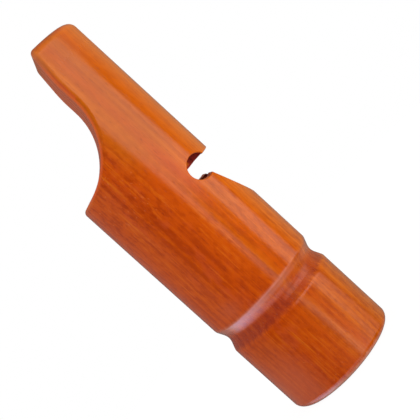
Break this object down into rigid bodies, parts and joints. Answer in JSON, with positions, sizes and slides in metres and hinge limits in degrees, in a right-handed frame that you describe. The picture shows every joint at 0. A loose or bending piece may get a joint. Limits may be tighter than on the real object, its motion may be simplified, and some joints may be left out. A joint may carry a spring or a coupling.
{
  "type": "bird call",
  "caption": "Mouth-blown flue whistle turned from lacquered hardwood, with an undercut beak mouthpiece, an open window with a ramp, a stopped end and a lanyard groove.",
  "frame": {"origin": "centre of the flat foot, on the turning axis", "axes": "+Z along the turning axis from the stopped foot to the mouth, +X out of the window, Y across the two matching sides"},
  "size_m": [0.026, 0.026, 0.0855],
  "materials": {
    "body_wood": "orange-red stained hardwood under satin-gloss lacquer",
    "block_wood": "stained hardwood, thin lacquer",
    "plug_wood": "stained hardwood end grain, matt"
  },
  "bodies": {
    "root": {"body": "body_wood", "windway_block": "block_wood", "end_plug": "plug_wood"}
  },
  "joints": []
}
